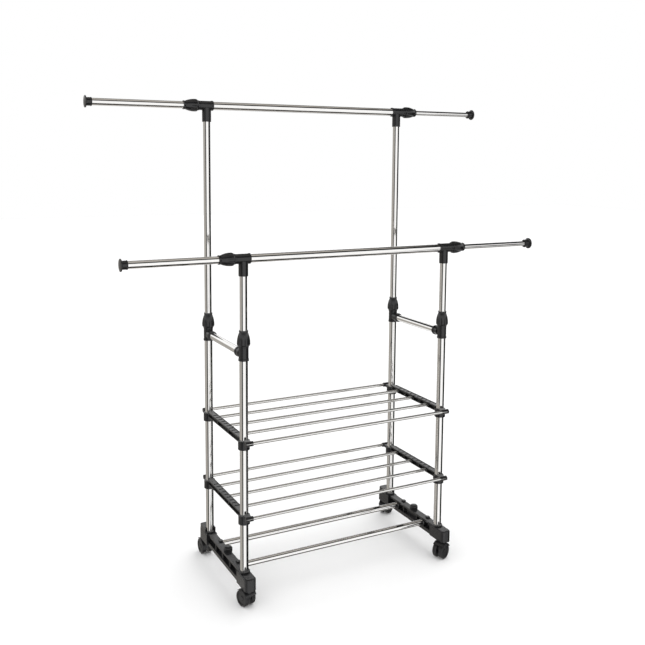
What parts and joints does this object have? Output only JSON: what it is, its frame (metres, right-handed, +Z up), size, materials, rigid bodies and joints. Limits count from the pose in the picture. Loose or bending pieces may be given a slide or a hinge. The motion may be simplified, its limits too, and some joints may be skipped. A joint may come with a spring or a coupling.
{
  "type": "rolling clothes rack",
  "caption": "Freestanding two-tier garment rack with height-adjustable rails, pull-out arms, slatted rod shelves and swivel casters.",
  "frame": {"origin": "on the floor, midway between the four posts", "axes": "+Z up, +X along the rails towards the thin pull-out arms, +Y from the low front rail towards the high rear rail"},
  "size_m": [1.432, 0.4383, 1.5011],
  "materials": {
    "chrome_tube": "bright chrome-plated steel tube",
    "chrome_rod": "bright chrome-plated thin steel tube",
    "black_plastic": "black injection-moulded plastic, fine satin texture",
    "wheel_plastic": "black moulded wheel plastic",
    "zinc_steel": "zinc-plated steel pin"
  },
  "bodies": {
    "frame": {"left_base": "black_plastic", "right_base": "black_plastic", "outer_post_front_left": "chrome_tube", "outer_post_front_right": "chrome_tube", "outer_post_rear_left": "chrome_tube", "outer_post_rear_right": "chrome_tube", "height_collar_front_left": "black_plastic", "height_collar_front_right": "black_plastic", "height_collar_rear_left": "black_plastic", "height_collar_rear_right": "black_plastic", "side_crossbar_left": "chrome_tube", "side_crossbar_right": "chrome_tube", "base_bar_front": "chrome_tube", "base_bar_rear": "chrome_tube", "lower_bracket_left": "black_plastic", "lower_bracket_right": "black_plastic", "upper_bracket_left": "black_plastic", "upper_bracket_right": "black_plastic", "lower_shelf_rods": "chrome_rod", "upper_shelf_rods": "chrome_rod", "caster_stems": "zinc_steel"},
    "front_upper": {"inner_post_front_left": "chrome_tube", "inner_post_front_right": "chrome_tube", "front_post_guides": "black_plastic", "rail_tee_front_left": "black_plastic", "rail_tee_front_right": "black_plastic", "front_rail": "chrome_tube"},
    "rear_upper": {"inner_post_rear_left": "chrome_tube", "inner_post_rear_right": "chrome_tube", "rear_post_guides": "black_plastic", "rail_tee_rear_left": "black_plastic", "rail_tee_rear_right": "black_plastic", "rear_rail": "chrome_tube"},
    "height_nut_front_left": {"height_nut_front_left": "black_plastic"},
    "arm_nut_front_left": {"arm_nut_front_left": "black_plastic"},
    "arm_front_left": {"rail_arm_front_left": "chrome_tube", "end_cap_front_left": "black_plastic"},
    "caster_front_left": {"caster_fork_front_left": "black_plastic"},
    "wheels_front_left": {"caster_wheels_front_left": "wheel_plastic"},
    "height_nut_front_right": {"height_nut_front_right": "black_plastic"},
    "arm_nut_front_right": {"arm_nut_front_right": "black_plastic"},
    "arm_front_right": {"rail_arm_front_right": "chrome_tube", "end_cap_front_right": "black_plastic", "arm_guide_front_right": "black_plastic"},
    "caster_front_right": {"caster_fork_front_right": "black_plastic"},
    "wheels_front_right": {"caster_wheels_front_right": "wheel_plastic"},
    "height_nut_rear_left": {"height_nut_rear_left": "black_plastic"},
    "arm_nut_rear_left": {"arm_nut_rear_left": "black_plastic"},
    "arm_rear_left": {"rail_arm_rear_left": "chrome_tube", "end_cap_rear_left": "black_plastic"},
    "caster_rear_left": {"caster_fork_rear_left": "black_plastic"},
    "wheels_rear_left": {"caster_wheels_rear_left": "wheel_plastic"},
    "height_nut_rear_right": {"height_nut_rear_right": "black_plastic"},
    "arm_nut_rear_right": {"arm_nut_rear_right": "black_plastic"},
    "arm_rear_right": {"rail_arm_rear_right": "chrome_tube", "end_cap_rear_right": "black_plastic", "arm_guide_rear_right": "black_plastic"},
    "caster_rear_right": {"caster_fork_rear_right": "black_plastic"},
    "wheels_rear_right": {"caster_wheels_rear_right": "wheel_plastic"}
  },
  "joints": [
    {"name": "front_rail_height", "type": "slide", "parent": "frame", "child": "front_upper", "axis": [0, 0, 1], "range_m": [-0.155, 0.456]},
    {"name": "rear_rail_height", "type": "slide", "parent": "frame", "child": "rear_upper", "axis": [0, 0, 1], "range_m": [-0.602, 0.009]},
    {"name": "height_nut_front_left_twist", "type": "hinge", "parent": "frame", "child": "height_nut_front_left", "pos_m": [-0.35, -0.15, 0.8], "axis": [0, 0, 1], "range_deg": [0, 120]},
    {"name": "arm_nut_front_left_twist", "type": "hinge", "parent": "front_upper", "child": "arm_nut_front_left", "pos_m": [-0.4, -0.15, 1.035], "axis": [-1, 0, 0], "range_deg": [0, 120]},
    {"name": "arm_front_left_slide", "type": "slide", "parent": "front_upper", "child": "arm_front_left", "axis": [-1, 0, 0], "range_m": [-0.255, 0.04]},
    {"name": "caster_front_left_swivel", "type": "hinge", "parent": "frame", "child": "caster_front_left", "pos_m": [-0.35, -0.184, 0.05], "axis": [0, 0, 1], "continuous": true},
    {"name": "caster_front_left_roll", "type": "hinge", "parent": "caster_front_left", "child": "wheels_front_left", "pos_m": [-0.35336, -0.17144, 0.025], "axis": [-0.9659, -0.2588, 0], "continuous": true},
    {"name": "height_nut_front_right_twist", "type": "hinge", "parent": "frame", "child": "height_nut_front_right", "pos_m": [0.35, -0.15, 0.8], "axis": [0, 0, 1], "range_deg": [0, 120]},
    {"name": "arm_nut_front_right_twist", "type": "hinge", "parent": "front_upper", "child": "arm_nut_front_right", "pos_m": [0.4, -0.15, 1.035], "axis": [1, 0, 0], "range_deg": [0, 120]},
    {"name": "arm_front_right_slide", "type": "slide", "parent": "front_upper", "child": "arm_front_right", "axis": [1, 0, 0], "range_m": [-0.257, 0.03]},
    {"name": "caster_front_right_swivel", "type": "hinge", "parent": "frame", "child": "caster_front_right", "pos_m": [0.35, -0.184, 0.05], "axis": [0, 0, 1], "continuous": true},
    {"name": "caster_front_right_roll", "type": "hinge", "parent": "caster_front_right", "child": "wheels_front_right", "pos_m": [0.33812, -0.18929, 0.025], "axis": [0.4067, -0.9135, 0], "continuous": true},
    {"name": "height_nut_rear_left_twist", "type": "hinge", "parent": "frame", "child": "height_nut_rear_left", "pos_m": [-0.35, 0.15, 0.8], "axis": [0, 0, 1], "range_deg": [0, 120]},
    {"name": "arm_nut_rear_left_twist", "type": "hinge", "parent": "rear_upper", "child": "arm_nut_rear_left", "pos_m": [-0.4, 0.15, 1.482], "axis": [-1, 0, 0], "range_deg": [0, 120]},
    {"name": "arm_rear_left_slide", "type": "slide", "parent": "rear_upper", "child": "arm_rear_left", "axis": [-1, 0, 0], "range_m": [-0.275, 0.022]},
    {"name": "caster_rear_left_swivel", "type": "hinge", "parent": "frame", "child": "caster_rear_left", "pos_m": [-0.35, 0.184, 0.05], "axis": [0, 0, 1], "continuous": true},
    {"name": "caster_rear_left_roll", "type": "hinge", "parent": "caster_rear_left", "child": "wheels_rear_left", "pos_m": [-0.35045, 0.19699, 0.025], "axis": [-0.9994, -0.0349, 0], "continuous": true},
    {"name": "height_nut_rear_right_twist", "type": "hinge", "parent": "frame", "child": "height_nut_rear_right", "pos_m": [0.35, 0.15, 0.8], "axis": [0, 0, 1], "range_deg": [0, 120]},
    {"name": "arm_nut_rear_right_twist", "type": "hinge", "parent": "rear_upper", "child": "arm_nut_rear_right", "pos_m": [0.4, 0.15, 1.482], "axis": [1, 0, 0], "range_deg": [0, 120]},
    {"name": "arm_rear_right_slide", "type": "slide", "parent": "rear_upper", "child": "arm_rear_right", "axis": [1, 0, 0], "range_m": [-0.229, 0.055]},
    {"name": "caster_rear_right_swivel", "type": "hinge", "parent": "frame", "child": "caster_rear_right", "pos_m": [0.35, 0.184, 0.05], "axis": [0, 0, 1], "continuous": true},
    {"name": "caster_rear_right_roll", "type": "hinge", "parent": "caster_rear_right", "child": "wheels_rear_right", "pos_m": [0.3609, 0.19108, 0.025], "axis": [-0.5446, 0.8387, 0], "continuous": true}
  ]
}
